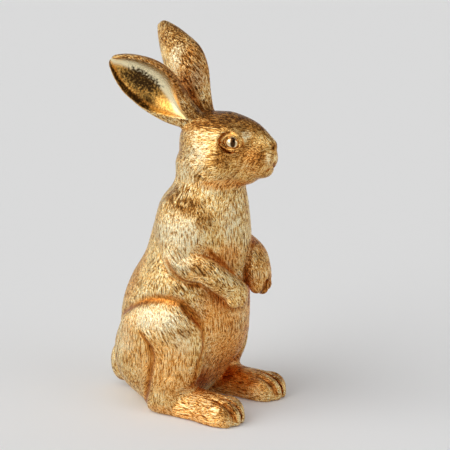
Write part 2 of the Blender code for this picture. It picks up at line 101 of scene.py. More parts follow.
# Ears: root, tips and the way each hollow faces
EAR_ROOT = (11.0, 19.0, 17.5)
EAR_TIP = {"left": (26.0, 69.2, 85.4), "right": (-37.0, 76.0, 65.0)}
EAR_FACING = {"left": (1.0, -0.2, -0.1), "right": (-0.93, -0.14, -0.33)}
EAR_SHARES = [-0.15, 0.0, 0.15, 0.35, 0.55, 0.75, 0.9, 1.0]
EAR_HALF_WIDTH = {
    "left": [8.0, 9.2, 12.8, 18.4, 19.6, 14.5, 8.6, 3.8],
    "right": [8.0, 10.4, 14.8, 20.6, 22.0, 18.4, 11.2, 4.2],
}
EAR_DEPTH = {
    "left": [8.0, 10.0, 11.5, 12.5, 12.0, 9.5, 6.5, 2.5],
    "right": [8.0, 10.0, 11.5, 13.0, 13.5, 11.0, 7.5, 3.0],
}
EAR_BOW = {
    "left": [0.0, 0.8, -0.4, -3.3, -4.3, -2.7, -1.2, 0.4],
    "right": [0.0, 0.0, 0.9, -1.2, -2.2, -1.2, -0.4, 0.4],
}
EAR_RIM = 3.0
EAR_WALL = 2.7

# Forelegs, from the shoulder
SHOULDER = (25.5, -8.3, 150.0)
FORELEG_LINE = {
    "right": [(-1, 2, 2), (-7, -4, -24.6), (-7, -25, -28.6), (-4, -39, -38.2), (2, -46.0, -45.6)],
    "left": [(2, 2, -6), (6, -6, -18), (1, -24, -22), (-8, -38.5, -27), (-10.5, -44.0, -36),
             (-10.5, -46, -42)],
}
FORELEG_RADII = {
    "right": [16, 14.5, 11.2, 10.4, 10.6],
    "left": [15, 13.5, 11.5, 12, 11.3, 10.2],
}
PAW_TOES = {
    "right": [(-5.0, -47.5, -51.5), (1.4, -49.3, -51.6), (8.2, -47.8, -51.0)],
    "left": [(-16.8, -47.0, -48.5), (-11.0, -49.4, -50.2), (-5.0, -48.2, -48.8)],
}

# Hind legs, for the left side
HIP = (36.0, 4.0, 55.0)
FOOT = (34.0, 0.0, 0.0)
TOES = [(-11.6, -50.5), (-4.0, -55.0), (4.0, -55.5), (11.6, -51.5)]

TAIL = np.array((0.0, 64.6, 21.8))

# Creases of the right side: points, fading, depth and width, strength of the shade painted along them
CREASES = [
    # Between the haunch and the trunk
    ([(-24, 50, 62), (-28.0, 48.3, 70.4), (-40.0, 33.2, 83.0), (-43.5, 20.0, 90.8), (-44.4, 6.4, 95.3),
      (-43.5, -6.1, 95.9), (-41.5, -15.4, 94.2), (-39.2, -22.2, 88.4), (-36.7, -27.6, 81.2),
      (-34.4, -30.9, 74.2)],
     [3, 1, 0, 0, 0, 0, 0, 0, 1, 4], 2.6, 3.2, 1.0),
    # Between the shin and the rump
    ([(-51.8, 15, 67), (-52.3, 7.2, 57.2), (-52.3, 5.7, 50.1), (-52.5, 7.3, 39.2), (-51.1, 10.3, 27.5),
      (-48.4, 14.1, 15.2), (-43, 19, 4)],
     [4, 1, 0, 0, 0, 0, 0], 4.2, 3.0, 0.9),
    # Down the front of the thigh
    ([(-34.0, -31.2, 72.1), (-33.9, -32.3, 63.8), (-36.8, -32.8, 56.3), (-39.7, -31.6, 48.5),
      (-40.4, -29.1, 39.8), (-39.5, -26.7, 32.7)],
     [3, 1, 0, 0, 0, 2], 1.0, 3.0, 0.8),
    # Under and over the forearm
    ([(-45.6, -5.3, 129.8), (-46.3, -8.7, 124.2), (-45.5, -14, 117.5), (-42, -20, 112.5),
      (-39, -30, 109.5), (-36.5, -42, 105), (-33.5, -49, 100), (-32.5, -55, 95), (-28, -60, 91.5),
      (-20, -60, 90)],
     [4, 2, 0, 0, 0, 0, 0, 0, 1, 3], 1.2, 2.6, 0.9),
    ([(-30.1, -34.3, 138.3), (-28.6, -37.0, 133.0), (-28.0, -43.1, 129.0), (-21, -47, 122.6),
      (-15, -50, 115)],
     [3, 1, 0, 0, 2], 0.6, 2.6, 0.8),
]
# Between the toes
CREASES += [([(-34 - out, -38, 20.5), (-34 - out, -52, 18.0), (-34 - out, -61, 13.0), (-34 - out, -66, 5.0)],
             [1.2, 0, 0, 0.5], 0.9, 1.2, 0.8) for out in (-7.8, 0.0, 7.8)]

# Painted light on the leaf of the right side, in patches: middle, reach, strength and, where it is on one
# alone, its side
PATCHES = {
    # Painted shade and painted dark reflections, which darken the leaf
    "shade_and_dark_reflection": [
        (-12, -30, 240, 24, 38, 10, 1.0), (-4, -62, 234, 16, 16, 6, 0.8),
        (-23.5, -42, 210.5, 10, 8, 8, 0.9), (-13, -67, 211, 7, 6, 6, 0.8),
        (-2.5, -76, 219, 3, 4, 3.5, 1.0), (-22.8, -42, 216.5, 5, 6.5, 4, 0.9),
        (-12, -69, 213, 4.5, 5, 4.5, 0.8), (-17, -3, 280, 9, 11, 14, 0.6, 1),
        (-33, 0, 178, 14, 12, 6, 0.8), (-33, -17, 171, 10, 12, 8, 0.9), (-31, -31, 160, 8, 7, 8, 0.7),
        (-45.6, -22.5, 71.8, 5, 5, 4.5, 1.0), (-46, -38, 125, 7, 14, 8, 0.65),
        (-44, -52, 112, 8, 9, 8, 0.65), (-13, 24, 296, 18, 18, 12, 0.9, 1),
        (-11, 6, 284, 14, 10, 15, 0.8, 1), (-4, 4, 265, 7, 8, 8, 0.5, 1), (-47, -60, 16, 8, 8, 9, 0.6),
        (-38, -62, 18, 8, 7, 6, 0.8), (-28, -38, 101, 13, 10, 8, 0.6), (-14, -48, 88, 16, 8, 5, 0.6),
        (-20, -46, 127, 12, 8, 12, 0.3), (-14, -60, 214, 12, 12, 10, 0.55),
        (-10, 0, 273, 16, 11, 28, 0.6, 1), (-14, -6, 246, 9, 12, 12, 0.6, -1),
        (-21, -1, 262, 11, 15, 13, 0.8, -1), (-27, 9, 274, 12, 17, 13, 0.8, -1),
        (-33, 26, 284, 12, 20, 12, 0.8, -1), (-26, 40, 118, 18, 14, 36, 0.2),
        (-16, -58, 102, 10, 8, 10, 0.9, 1), (-14, -50, 116, 13, 12, 14, 0.85, 1),
    ],
    # Warm painted shade, which turns the leaf orange and darker where it lies in shade
    "warm_shade": [
        (-22, -51, 132, 15, 13, 11, 0.9), (-22, -42, 84, 24, 20, 26, 0.9), (-8, -38, 52, 24, 20, 28, 1.0),
        (-12, -28, 30, 20, 16, 14, 1.0), (-49, -4, 44, 14, 30, 26, 0.6), (-46, 26, 60, 10, 12, 22, 0.4),
        (-16, -40, 188, 18, 22, 5, 0.9), (-14, -62, 209, 14, 14, 12, 0.4),
        (-22, -30, 12, 15, 28, 15, 1.0, 1), (-16, -52, 108, 16, 14, 18, 0.9, 1),
        (-10, 0, 273, 16, 12, 30, 0.4, 1), (-25, 8, 270, 16, 40, 22, 0.5, -1),
        (-46, -36, 14, 12, 34, 14, 0.35), (30, -30, 122, 16, 14, 14, 0.4), (-50, -30, 5, 8, 40, 6, 0.7),
        (-26, 42, 118, 18, 16, 36, 0.45),
    ],
    # Painted highlights, which pale the leaf where light falls
    "painted_highlight": [
        (-30, -4, 205, 9, 20, 22, 0.8), (-24, -22, 212, 8, 10, 14, 0.8), (-24, -20, 226, 8, 16, 5, 0.6),
        (-27, 8, 189, 8, 14, 9, 0.9), (-40, -14, 150, 10, 20, 17, 0.9), (-47, -34, 106, 8, 12, 10, 0.5),
        (-47, 4, 80, 14, 24, 11, 1.0), (-46, -20, 66, 8, 8, 14, 0.6), (-46, 36, 60, 10, 14, 16, 0.6),
        (-46, -16, 132, 8, 14, 12, 0.7), (-20, -48, 160, 12, 8, 18, 0.5), (-44, -34, 24, 4, 5, 4, 0.9),
        (-46, -46, 22, 4, 5, 4, 0.9), (-7, -4, 266, 6, 7, 10, 0.8, 1), (-7, 18, 279, 6, 7, 14, 0.7, 1),
        (-30, -8, 223, 10, 12, 12, 0.25), (-11, -57, 228, 4, 5, 4, 0.8), (-8, -74.5, 210, 3, 3, 5, 0.7),
    ],
}

# Widths over which neighbouring castings flow into each other
BLEND = {"head": 8.0, "ear_left": 4.0, "ear_right": 4.0, "tail": 2.0}

SIDES = {"left": 1, "right": -1}

# Soft boxes round the room, from the camera's azimuth: azimuth, elevation, reach, soft edge, strength
SOFT_BOXES = [(-62.0, 34.0, 30.0, 12.0, 2.2), (58.0, 30.0, 16.0, 8.0, 1.0), (0.0, 72.0, 14.0, 10.0, 1.1)]
FLOOR_COLOUR = 0.78
FLOOR_GLOW = 0.05

# Tufts of the coat on each casting: length, half width and height
TUFTS = {
    "body": (7.0, 0.74, 0.46), "head": (3.0, 0.60, 0.09),
    "ear_left": (4.2, 0.65, 0.18), "ear_right": (4.2, 0.65, 0.18),
    "foreleg_left": (5.0, 0.68, 0.30), "foreleg_right": (5.0, 0.68, 0.30),
    "hind_leg_left": (6.0, 0.70, 0.38), "hind_leg_right": (6.0, 0.70, 0.38), "tail": (6.5, 0.85, 0.50),
}
TUFT_SPACING = 1.5

# Random turn of a tuft, and the height that leaves the skin where it is
TUFT_TURN = 0.16
TUFT_MEAN = 0.62
CLUMP_LIFT = 0.35
# Cells in which tufts look for points, and how far a point may rise over a tuft's root
TUFT_CELL = 2.9
TUFT_RISE = 4.0

# How flat the coat lies, from 0 to 1, and the relief that flat skin stands for
HEAD_CALM = 0.45
HIND_LEG_CALM = 0.30
PAW_CALM = 0.4
CREASE_CALM = 0.75
FLAT_RELIEF = 0.72
# Warm and dark shade painted along the creases, and the width of the dark one
CREASE_WARM_SHADE = 0.8
CREASE_DARK_SHADE = 0.75
DARK_SHADE_WIDTH = 1.6

# Width over which the coats of neighbouring castings mix
COAT_BLEND = 1.6

# Hollow of an ear: its rim in the field, and its painted dark reflection as middle and reach along and across
HOLLOW_RIM = (1.3, 0.2)
DARK_ALONG = (0.63, 0.27)
DARK_ACROSS = (-7.0, 9.5)

# Ways from the skin along which open space is looked for, to paint shade into creases and hollows
CREASE_REACHES = (5.0, 14.0)

# Axes along which the finest hairs are drawn; a place uses those near its own lie
HAIR_AXES = [
    (0, 0, 1), (0, 0.64, 0.77), (0, -0.64, 0.77), (0.64, 0, 0.77), (-0.64, 0, 0.77),
    (0, 1, 0), (1, 0, 0), (0.71, 0.71, 0), (-0.71, 0.71, 0),
]
HAIR_FOCUS = 14
HAIR_WIDTH = 0.76
HAIR_LENGTH = 6.4

# Random values that noise draws from, and what scatters the cells over them
NOISE_VALUES = 4096
CELL_KEYS = (73856093, 19349663, 83492791)


# Distance fields

def spline(t, knots, values):
    """Smooth curve through values at rising knots."""
    knots = np.asarray(knots, float)
    values = np.asarray(values, float)
    slopes = np.gradient(values, knots)
    t = np.clip(t, knots[0], knots[-1])
    i = np.clip(np.searchsorted(knots, t, side="right") - 1, 0, len(knots) - 2)
    h = knots[i + 1] - knots[i]
    s = (t - knots[i]) / h
    return ((2 * s**3 - 3 * s**2 + 1) * values[i] + (s**3 - 2 * s**2 + s) * h * slopes[i]
            + (3 * s**2 - 2 * s**3) * values[i + 1] + (s**3 - s**2) * h * slopes[i + 1])


def soft_min(a, b, k):
    """Union of two fields whose join is rounded over about k millimetres."""
    h = np.clip(0.5 + 0.5 * (b - a) / k, 0.0, 1.0)
    return b + (a - b) * h - k * h * (1.0 - h)


def soft_max(a, b, k):
    return -soft_min(-a, -b, k)


def ease(low, high, x):
    """Smooth rise from 0 at low to 1 at high."""
    t = np.clip((x - low) / (high - low), 0.0, 1.0)
    return t * t * (3.0 - 2.0 * t)


def norms(vectors):
    return np.linalg.norm(vectors, axis=1)


def unit(vectors):
    return vectors / (norms(vectors)[:, None] + 1e-9)


def mirrored(places, side):
    """Places that are given for the left side, on the side of a sign."""
    return np.array(places, float) * (side, 1, 1)


def offsets(places, origin):
    return [place - start for place, start in zip(places, origin)]


def oval_distance(places, radii):
    """Distances to an ellipse or an ellipsoid round the origin."""
    inner = np.sqrt(sum((x / r)**2 for x, r in zip(places, radii)))
    slope = np.sqrt(sum((x / r**2)**2 for x, r in zip(places, radii))) + 1e-9
    return inner * (inner - 1.0) / slope


def cell_corners(t):
    """Steps to the eight corners of a cell, each with its share at places t in the cell."""
    for dx, dy, dz in itertools.product((0, 1), repeat=3):
        yield (dx, dy, dz), np.abs(1 - dx - t[:, 0]) * np.abs(1 - dy - t[:, 1]) * np.abs(1 - dz - t[:, 2])


class Field:
    """Distances to a form on a part of the sculpting grid."""

    def __init__(self, low=GRID_LOW, high=GRID_HIGH):
        self.start = np.maximum(np.floor((np.array(low) - GRID_LOW) / VOXEL).astype(int), 0)
        stop = np.ceil((np.minimum(high, GRID_HIGH) - GRID_LOW) / VOXEL).astype(int) + 1
        self.low = GRID_LOW + self.start * VOXEL
        self.count = stop - self.start
        self.axes = [(self.low[i] + VOXEL * np.arange(self.count[i])).astype(np.float32) for i in range(3)]
        self.d = np.full(self.count, FAR, np.float32)
        self.all = tuple(slice(0, n) for n in self.count)
        self.in_grid = tuple(slice(a, a + n) for a, n in zip(self.start, self.count))

    def window(self, low, high):
        first = np.clip(np.floor((np.asarray(low) - self.low) / VOXEL).astype(int), 0, self.count - 1)
        last = np.clip(np.ceil((np.asarray(high) - self.low) / VOXEL).astype(int) + 1, 1, self.count)
        return tuple(slice(first[i], last[i]) for i in range(3))

    def places(self, window):
        return np.meshgrid(*[self.axes[i][window[i]] for i in range(3)], indexing="ij", sparse=True)

    def join(self, window, distance, k, mode="add"):
        here = self.d[window]
        distance = np.broadcast_to(distance, here.shape).astype(np.float32)
        self.d[window] = soft_min(here, distance, k) if mode == "add" else soft_max(here, -distance, k)

    def ball(self, centre, radii, k=4.0, mode="add"):
        centre = np.asarray(centre, float)
        radii = np.asarray(radii, float)
        window = self.window(centre - radii - k - 4.0, centre + radii + k + 4.0)
        self.join(window, oval_distance(offsets(self.places(window), centre), radii), k, mode)

    def tube(self, points, radii, margin, steps=8):
        """Window and distances of a ball swept along a smooth curve, its radius changing on the way."""
        points = np.asarray(points, float)
        knots = np.arange(len(points))
        t = np.linspace(0, len(points) - 1, steps * (len(points) - 1) + 1)
        line = np.stack([spline(t, knots, points[:, i]) for i in range(3)], 1)
        size = spline(t, knots, radii)
        window = self.window((line - size[:, None]).min(0) - margin, (line + size[:, None]).max(0) + margin)
        places = self.places(window)
        distance = np.full(self.d[window].shape, FAR, np.float32)
        for a, b, size_a, size_b in zip(line, line[1:], size, size[1:]):
            way = b - a
            dx, dy, dz = offsets(places, a)
            u = np.clip((dx * way[0] + dy * way[1] + dz * way[2]) / (way @ way), 0.0, 1.0)
            gap = np.sqrt((dx - u * way[0])**2 + (dy - u * way[1])**2 + (dz - u * way[2])**2)
            distance = np.minimum(distance, gap - (size_a + (size_b - size_a) * u))
        return window, distance

    def limb(self, points, radii, k=4.0, mode="add"):
        window, distance = self.tube(points, radii, k + 4.0)
        self.join(window, distance, k, mode)

    def groove(self, points, fade, depth, width):
        """Soft valley along a curve, shallower where fade is more than nothing."""
        window, distance = self.tube(points, -np.asarray(fade, float), 3.0 * width + 6.0)
        self.d[window] += (depth * np.exp(-(distance / width)**2)).astype(np.float32)

    def at(self, points):
        """Distances at points, by straight-line interpolation."""
        place = (points - self.low) / VOXEL
        inside = np.all((place >= 0) & (place <= self.count - 1.001), axis=1)
        place = place[inside]
        cell = place.astype(int)
        t = (place - cell).astype(np.float32)
        found = np.zeros(len(place), np.float32)
        for (dx, dy, dz), share in cell_corners(t):
            found += share * self.d[cell[:, 0] + dx, cell[:, 1] + dy, cell[:, 2] + dz]
        result = np.full(len(points), FAR, np.float32)
        result[inside] = found
        return result

    def outward(self, points):
        steps = VOXEL * np.eye(3)
        return unit(np.stack([self.at(points + step) - self.at(points - step) for step in steps], 1))


def trunk_field():
    field = Field()
    window = field.window((-50, -62, -20), (50, 76, 208))
    rows = np.array(TRUNK, float)
    x, y, z = field.places(window)
    middle, depth, width = [spline(z, rows[:, 0], rows[:, i]).astype(np.float32) for i in (1, 2, 3)]
    trunk = np.minimum(oval_distance((x, y - middle), (width, depth)), FAR)
    field.d[window] = soft_max(trunk, np.broadcast_to(z - rows[-1, 0], trunk.shape), 6.0)
    return field


def head_field():
    field = Field(HEAD - (34, 56, 36), HEAD + (34, 48, 34))
    field.ball(HEAD, (24.5, 33.5, 24.0), k=1.0)
    field.ball(HEAD + (0, 5.5, -16.5), (23.5, 27.5, 24), k=8.0)
    for side in (-1, 1):
        field.ball(HEAD + (side * 12, -7, -11.5), (14, 20, 17), k=6.0)
        field.ball(HEAD + (side * 10, -13, 9.5), (9, 14, 7.5), k=7.0)
    field.ball(HEAD + (0, -28.2, -7.5), (14.5, 21.0, 15), k=8.0)
    field.limb(HEAD + [(0, -10, 13), (0, -28, 10.5), (0, -44.2, 1.8)], [10, 9, 6], k=6.0)
    for side in (-1, 1):
        field.ball(HEAD + (side * 5.2, -37.3, -10), (7.6, 10.2, 9.6), k=5.0)
    field.ball(HEAD + (0, -36.0, -19.4), (8.5, 10, 5.6), k=5.0)
    field.ball(HEAD + (0, -24, -22.0), (11, 10, 9.5), k=6.0)
    # Nose, its two nostrils, the cleft under it and the mouth
    field.ball(HEAD + (0, -45.0, 1.2), (4.4, 4.0, 3.4), k=2.5)
    for side in (-1, 1):
        field.limb(HEAD + mirrored([(4.6, -45.8, 3.2), (2.6, -48.8, 0.6)], side), [0.6, 1.1],
                   k=0.8, mode="cut")
        field.limb(HEAD + mirrored([(0.4, -47.8, -12.6), (5.0, -45.2, -16.4), (10.5, -36.5, -17.8)], side),
                   [0.7, 0.8, 0.3], k=1.6, mode="cut")
    field.limb(HEAD + [(0, -49.0, -2.4), (0, -48.8, -12.6)], [0.6, 0.8], k=1.6, mode="cut")
    for side in (-1, 1):
        eye = HEAD + mirrored(EYE, side)
        # Shallow socket, then the lids as two thin rings that meet in a corner at each end
        field.ball(eye + (side * 2.5, 0, 0), (4.0, 10.0, 7.8), k=3.0, mode="cut")
        field.ball(eye + (side * -1.5, 0, 0.2), (3.6, 8.6, 7.0), k=1.5)
        for lid, radii in LIDS:
            field.limb(eye + mirrored(lid, side), radii, k=0.8)
        field.ball(eye, np.array(EYE_BALL) + 0.1, k=0.3, mode="cut")
    return field


def ear_frame(side):
    """Root, length and the directions along, across and out of the hollow of an ear."""
    root = HEAD + mirrored(EAR_ROOT, SIDES[side])
    tip = HEAD + EAR_TIP[side]
    length = np.linalg.norm(tip - root)
    along = (tip - root) / length
    facing = EAR_FACING[side] - (along @ EAR_FACING[side]) * along
    facing /= np.linalg.norm(facing)
    return root, length, along, np.cross(along, facing), facing


def ear_fields(side):
    """An ear, and the space in its hollow."""
    root, length, along, across, facing = ear_frame(side)
    tip = root + along * length
    field, hollow = [Field(np.minimum(root, tip) - 24.0, np.maximum(root, tip) + 24.0) for _ in range(2)]
    x, y, z = offsets(field.places(field.all), root)
    share, w, n = [x * way[0] + y * way[1] + z * way[2] for way in (along, across, facing)]
    share = share / length
    half_width = spline(share, EAR_SHARES, EAR_HALF_WIDTH[side])
    depth = spline(share, EAR_SHARES, EAR_DEPTH[side])
    w = w - SIDES[side] * spline(share, EAR_SHARES, EAR_BOW[side])
    outer = oval_distance((w, n), (half_width, depth))
    outer = soft_max(outer, (share - 1.0) * length, 3.0)
    outer = soft_max(outer, (-0.15 - share) * length, 3.0)
    outer = soft_max(outer, n - EAR_RIM, 1.6)
    narrow = 1.0 - 0.94 * np.clip(1.0 - (share - 0.05) / 0.5, 0.0, 1.0)**2.2
    opening = [np.maximum(size * narrow, 0.3) for size in (half_width - EAR_WALL, depth - EAR_WALL + EAR_RIM)]
    inner = oval_distance((w, n - EAR_RIM), opening)
    inner = soft_max(inner, (0.04 - share) * length, 2.0)
    field.d = soft_max(outer, -inner, 1.1).astype(np.float32)
    hollow.d = np.minimum(inner, FAR).astype(np.float32)
    return field, hollow


def foreleg_field(side):
    s = SIDES[side]
    shoulder = mirrored(SHOULDER, s)
    line = shoulder + FORELEG_LINE[side]
    low, high = np.minimum(line.min(0), shoulder - (0, 0, 10)), np.maximum(line.max(0), shoulder)
    field = Field(low - 26, high + (26, 26, 34))
    field.ball(shoulder, (15, 22, 30), k=3.0)
    field.ball(shoulder + (s * -1, -11, -7), (12.5, 14, 19), k=7.0)
    field.limb(line, FORELEG_RADII[side], k=7.0)
    if side == "left":
        field.limb(line[-3:] + (-4.0, 1.5, 0.5), [11.0, 10.5, 9.8], k=4.0)
    toes = shoulder + PAW_TOES[side]
    for toe in toes:
        field.ball(toe, (4.8, 6.0, 6.2), k=2.0)
    # Grooves between the toes run a little way up the paw
    for a, b in zip(toes, toes[1:]):
        middle = (a + b) / 2
        depth = 1.9 if side == "left" else 0.8
        field.limb(middle + [(0, -4.0, 11.0), (0, -6.6, 2.0), (0, -5.0, -6.0)],
                   [0.4 * depth, 1.1 * depth, 1.1 * depth], k=1.5, mode="cut")
    return field


def hind_leg_field(side):
    s = SIDES[side]
    hip, foot = mirrored(HIP, s), mirrored(FOOT, s)
    field = Field(np.minimum(hip, foot) - (36, 84, 60), np.maximum(hip, foot) + (36, 64, 46))
    # Thigh, shin and heel
    field.ball(hip, (16.5, 37, 43.5), k=1.0)
    field.ball(hip + (0, -4, -24), (16.5, 22, 26), k=6.0)
    field.ball(foot + (s * -0.5, 4, 12.5), (17, 19, 17), k=6.0)
    # Rump, which a crease parts from the shin lower down
    places = field.places(field.all)
    rump = oval_distance(offsets(places, hip + (s * -12, 22, -11.0)), (26, 27.5, 36.5))
    field.join(field.all, np.minimum(rump, FAR), 2.0 + 10.0 * ease(45.0, 80.0, places[2]))
    # Foot and toes
    field.ball(foot + (s * -1.5, -20, 6.0), (15.2, 34, 16.6), k=6.0)
    field.ball(foot + (0, -44.5, 5.5), (17.2, 22, 15.0), k=5.0)
    for out, along in TOES:
        field.ball(foot + (s * out, along, 5.5), (4.9, 11.5, 11.9), k=2.8)
    for (out_a, along_a), (out_b, along_b) in zip(TOES, TOES[1:]):
        out, along = (out_a + out_b) / 2, min(along_a, along_b)
        line = [(out * 0.8, along + 12, 20.0), (out, along + 2, 18.0), (out, along - 7.5, 12.0),
                (out, along - 11, 0.0)]
        field.limb(foot + mirrored(line, s), [0.2, 1.0, 1.3, 1.0], k=1.6, mode="cut")
    return field


def tail_field():
    field = Field(TAIL - (20, 20, 24), TAIL + (20, 20, 26))
    field.ball(TAIL, (12, 11, 18), k=1.0)
    return field


def castings():
    """Fields of the nine castings by node name, and of the two hollows of the ears."""
    fields = {"body": trunk_field(), "head": head_field(), "tail": tail_field()}
    hollows = {}
    for side in SIDES:
        fields["ear_" + side], hollows[side] = ear_fields(side)
        fields["foreleg_" + side] = foreleg_field(side)
        fields["hind_leg_" + side] = hind_leg_field(side)
    return fields, hollows


def joined_form(parts):
    """One form over all the castings, with soft joins and carved creases."""
    form = Field()
    trunk = parts["body"].d
    form.d = trunk.copy()
    for name in ("head", "ear_left", "ear_right", "tail"):
        part = parts[name]
        form.join(part.in_grid, part.d, BLEND[name])
    for side in SIDES:
        # A shoulder flows into the chest, and the forearm lies on it with a crease
        foreleg = parts["foreleg_" + side]
        z = form.places(foreleg.in_grid)[2]
        form.join(foreleg.in_grid, foreleg.d, 2.0 + 9.0 * ease(128.0, 160.0, z))
        edge = foreleg.d - trunk[foreleg.in_grid]
        groove = 1.0 * np.exp(-(edge / 2.6)**2) * ease(150.0, 130.0, z)
        form.d[foreleg.in_grid] += np.where(np.abs(form.d[foreleg.in_grid]) < 8.0, groove, 0.0)
        # Groove along the upper and front edge of the haunch
        leg = parts["hind_leg_" + side]
        z = form.places(leg.in_grid)[2]
        swell = 1.0 * ease(55.0, 80.0, z)
        form.join(leg.in_grid, leg.d - swell, 3.0 + 2.5 * ease(30.0, 10.0, z))
        for line, fade, depth, width, strength in CREASES:
            form.groove(mirrored(line, -SIDES[side]), fade, depth, width)
    z = form.places(form.all)[2]
    form.d = soft_max(form.d, GROUND_Z - z, 1.0).astype(np.float32)
    return form


def skin_of(field):
    """Points and four-sided faces of the surface where a field is zero."""
    reach = 3.0 * VOXEL
    grid = openvdb.FloatGrid(reach)
    grid.copyFromArray(np.clip(field.d, -reach, reach).astype(np.float32))
    points, quads = grid.convertToQuads(isovalue=0.0)
    return (points * VOXEL + GRID_LOW).astype(np.float32), quads.astype(np.int64)


# Coat

def noise(points, size, seed):
    """Smooth random values from -1 to 1, with features of a size."""
    table = np.random.default_rng(seed).uniform(-1.0, 1.0, NOISE_VALUES).astype(np.float32)
    place = points / size + 100.0
    cell = np.floor(place).astype(np.int64)
    t = place - cell
    t = t * t * (3.0 - 2.0 * t)
    result = np.zeros(len(points), np.float32)
    for step, share in cell_corners(t):
        x, y, z = [(cell[:, i] + step[i]) * CELL_KEYS[i] for i in range(3)]
        result += share * table[(x ^ y ^ z) & (NOISE_VALUES - 1)]
    return result


def from_segment(points, a, b):
    """Offsets of points from the nearest places on a straight piece of line."""
    u = np.clip((points - a) @ (b - a) / ((b - a) @ (b - a)), 0.0, 1.0)
    return points - a - u[:, None] * (b - a)


def along_line(points, line):
    """Direction of a line of points, at places near it."""
    way = np.zeros((len(points), 3))
    for a, b in zip(line, line[1:]):
        gap = norms(from_segment(points, a, b))
        way += np.exp(-(gap / 9.0)**2)[:, None] * (b - a) / np.linalg.norm(b - a)
    return way


def gap_to_line(points, normals, line):
    """Distance along the skin from a line of points that runs close to it."""
    gap = np.full(len(points), 1e3)
    for a, b in zip(line, line[1:]):
        offset = from_segment(points, a, b)
        depth = np.sum(offset * normals, 1)
        aside = norms(offset - depth[:, None] * normals)
        gap = np.minimum(gap, np.where(np.abs(depth) < 6.0, aside, 1e3))
    return gap


def lie_of_coat(points, normals, weights):
    """Way in which the hairs lie along the skin, blended from one casting to the next."""
    x, y, z = points.T
    side = np.sign(x)
    one = np.ones(len(points))
    belly = ease(12.0, -25.0, y)
    forward = belly * ease(72.0, 88.0, z) * ease(128.0, 108.0, z)
    back = belly * ease(76.0, 60.0, z)
    foot = ease(6.0, -22.0, y) * ease(36.0, 22.0, z)
    ways = {
        "body": np.stack([0.25 * side * back, 0.9 * back - 0.8 * forward, -one], 1),
        "head": unit(points - HEAD - NOSE) + np.array((0.0, 0.35, -0.25)),
        "tail": np.stack([0.2 * side, 0.3 * one, one], 1),
    }
    for name, s in SIDES.items():
        line = mirrored(SHOULDER, s) + [(0, 4, 30), *FORELEG_LINE[name]]
        ways["foreleg_" + name] = along_line(points, line)
        ways["ear_" + name] = np.tile(ear_frame(name)[2], (len(points), 1))
        thigh = ease(40.0, 70.0, z) * ease(22.0, 6.0, y)
        ways["hind_leg_" + name] = np.stack([0.0 * one, (0.15 - 0.7 * thigh) * (1.0 - foot) - foot,
                                             -1.0 + 0.9 * foot], 1)
    way = sum(weights[name][:, None] * unit(ways[name]) for name in ways)
    way = unit(way - np.sum(way * normals, 1)[:, None] * normals)
    turn = 0.42 * noise(points, 13.0, 3) + 0.26 * noise(points, 5.5, 4)
    turn += weights["head"] * 0.5 * np.sign(noise(points, 3.5, 5)) * ease(222.0, 212.0, z)
    return turned(way, normals, turn)


def turned(way, normals, angle):
    return np.cos(angle)[:, None] * way + np.sin(angle)[:, None] * np.cross(normals, way)


def near_pairs(points, centres, cell):
    """Index pairs of centres and the points less than two cells from them, in batches."""
    low = points.min(0) - 3 * cell
    count = np.ceil((points.max(0) - low) / cell).astype(int) + 4
    place = ((points - low) / cell).astype(int)
    key = (place[:, 0] * count[1] + place[:, 1]) * count[2] + place[:, 2]
    order = np.argsort(key, kind="stable")
    key = key[order]
    centre = ((centres - low) / cell).astype(int)
    steps = np.array([(dx, dy) for dx in range(-2, 3) for dy in range(-2, 3)])
    for first in range(0, len(centres), 5000):
        here = centre[first:first + 5000]
        row = ((here[:, None, 0] + steps[:, 0]) * count[1] + here[:, None, 1] + steps[:, 1]) * count[2]
        begin = np.searchsorted(key, (row + here[:, None, 2] - 2).ravel(), side="left")
        end = np.searchsorted(key, (row + here[:, None, 2] + 2).ravel(), side="right")
        size = end - begin
        owner = np.repeat(np.repeat(np.arange(len(here)), len(steps)) + first, size)
        within = np.arange(size.sum()) - np.repeat(np.cumsum(size) - size, size)
        yield owner, order[np.repeat(begin, size) + within]


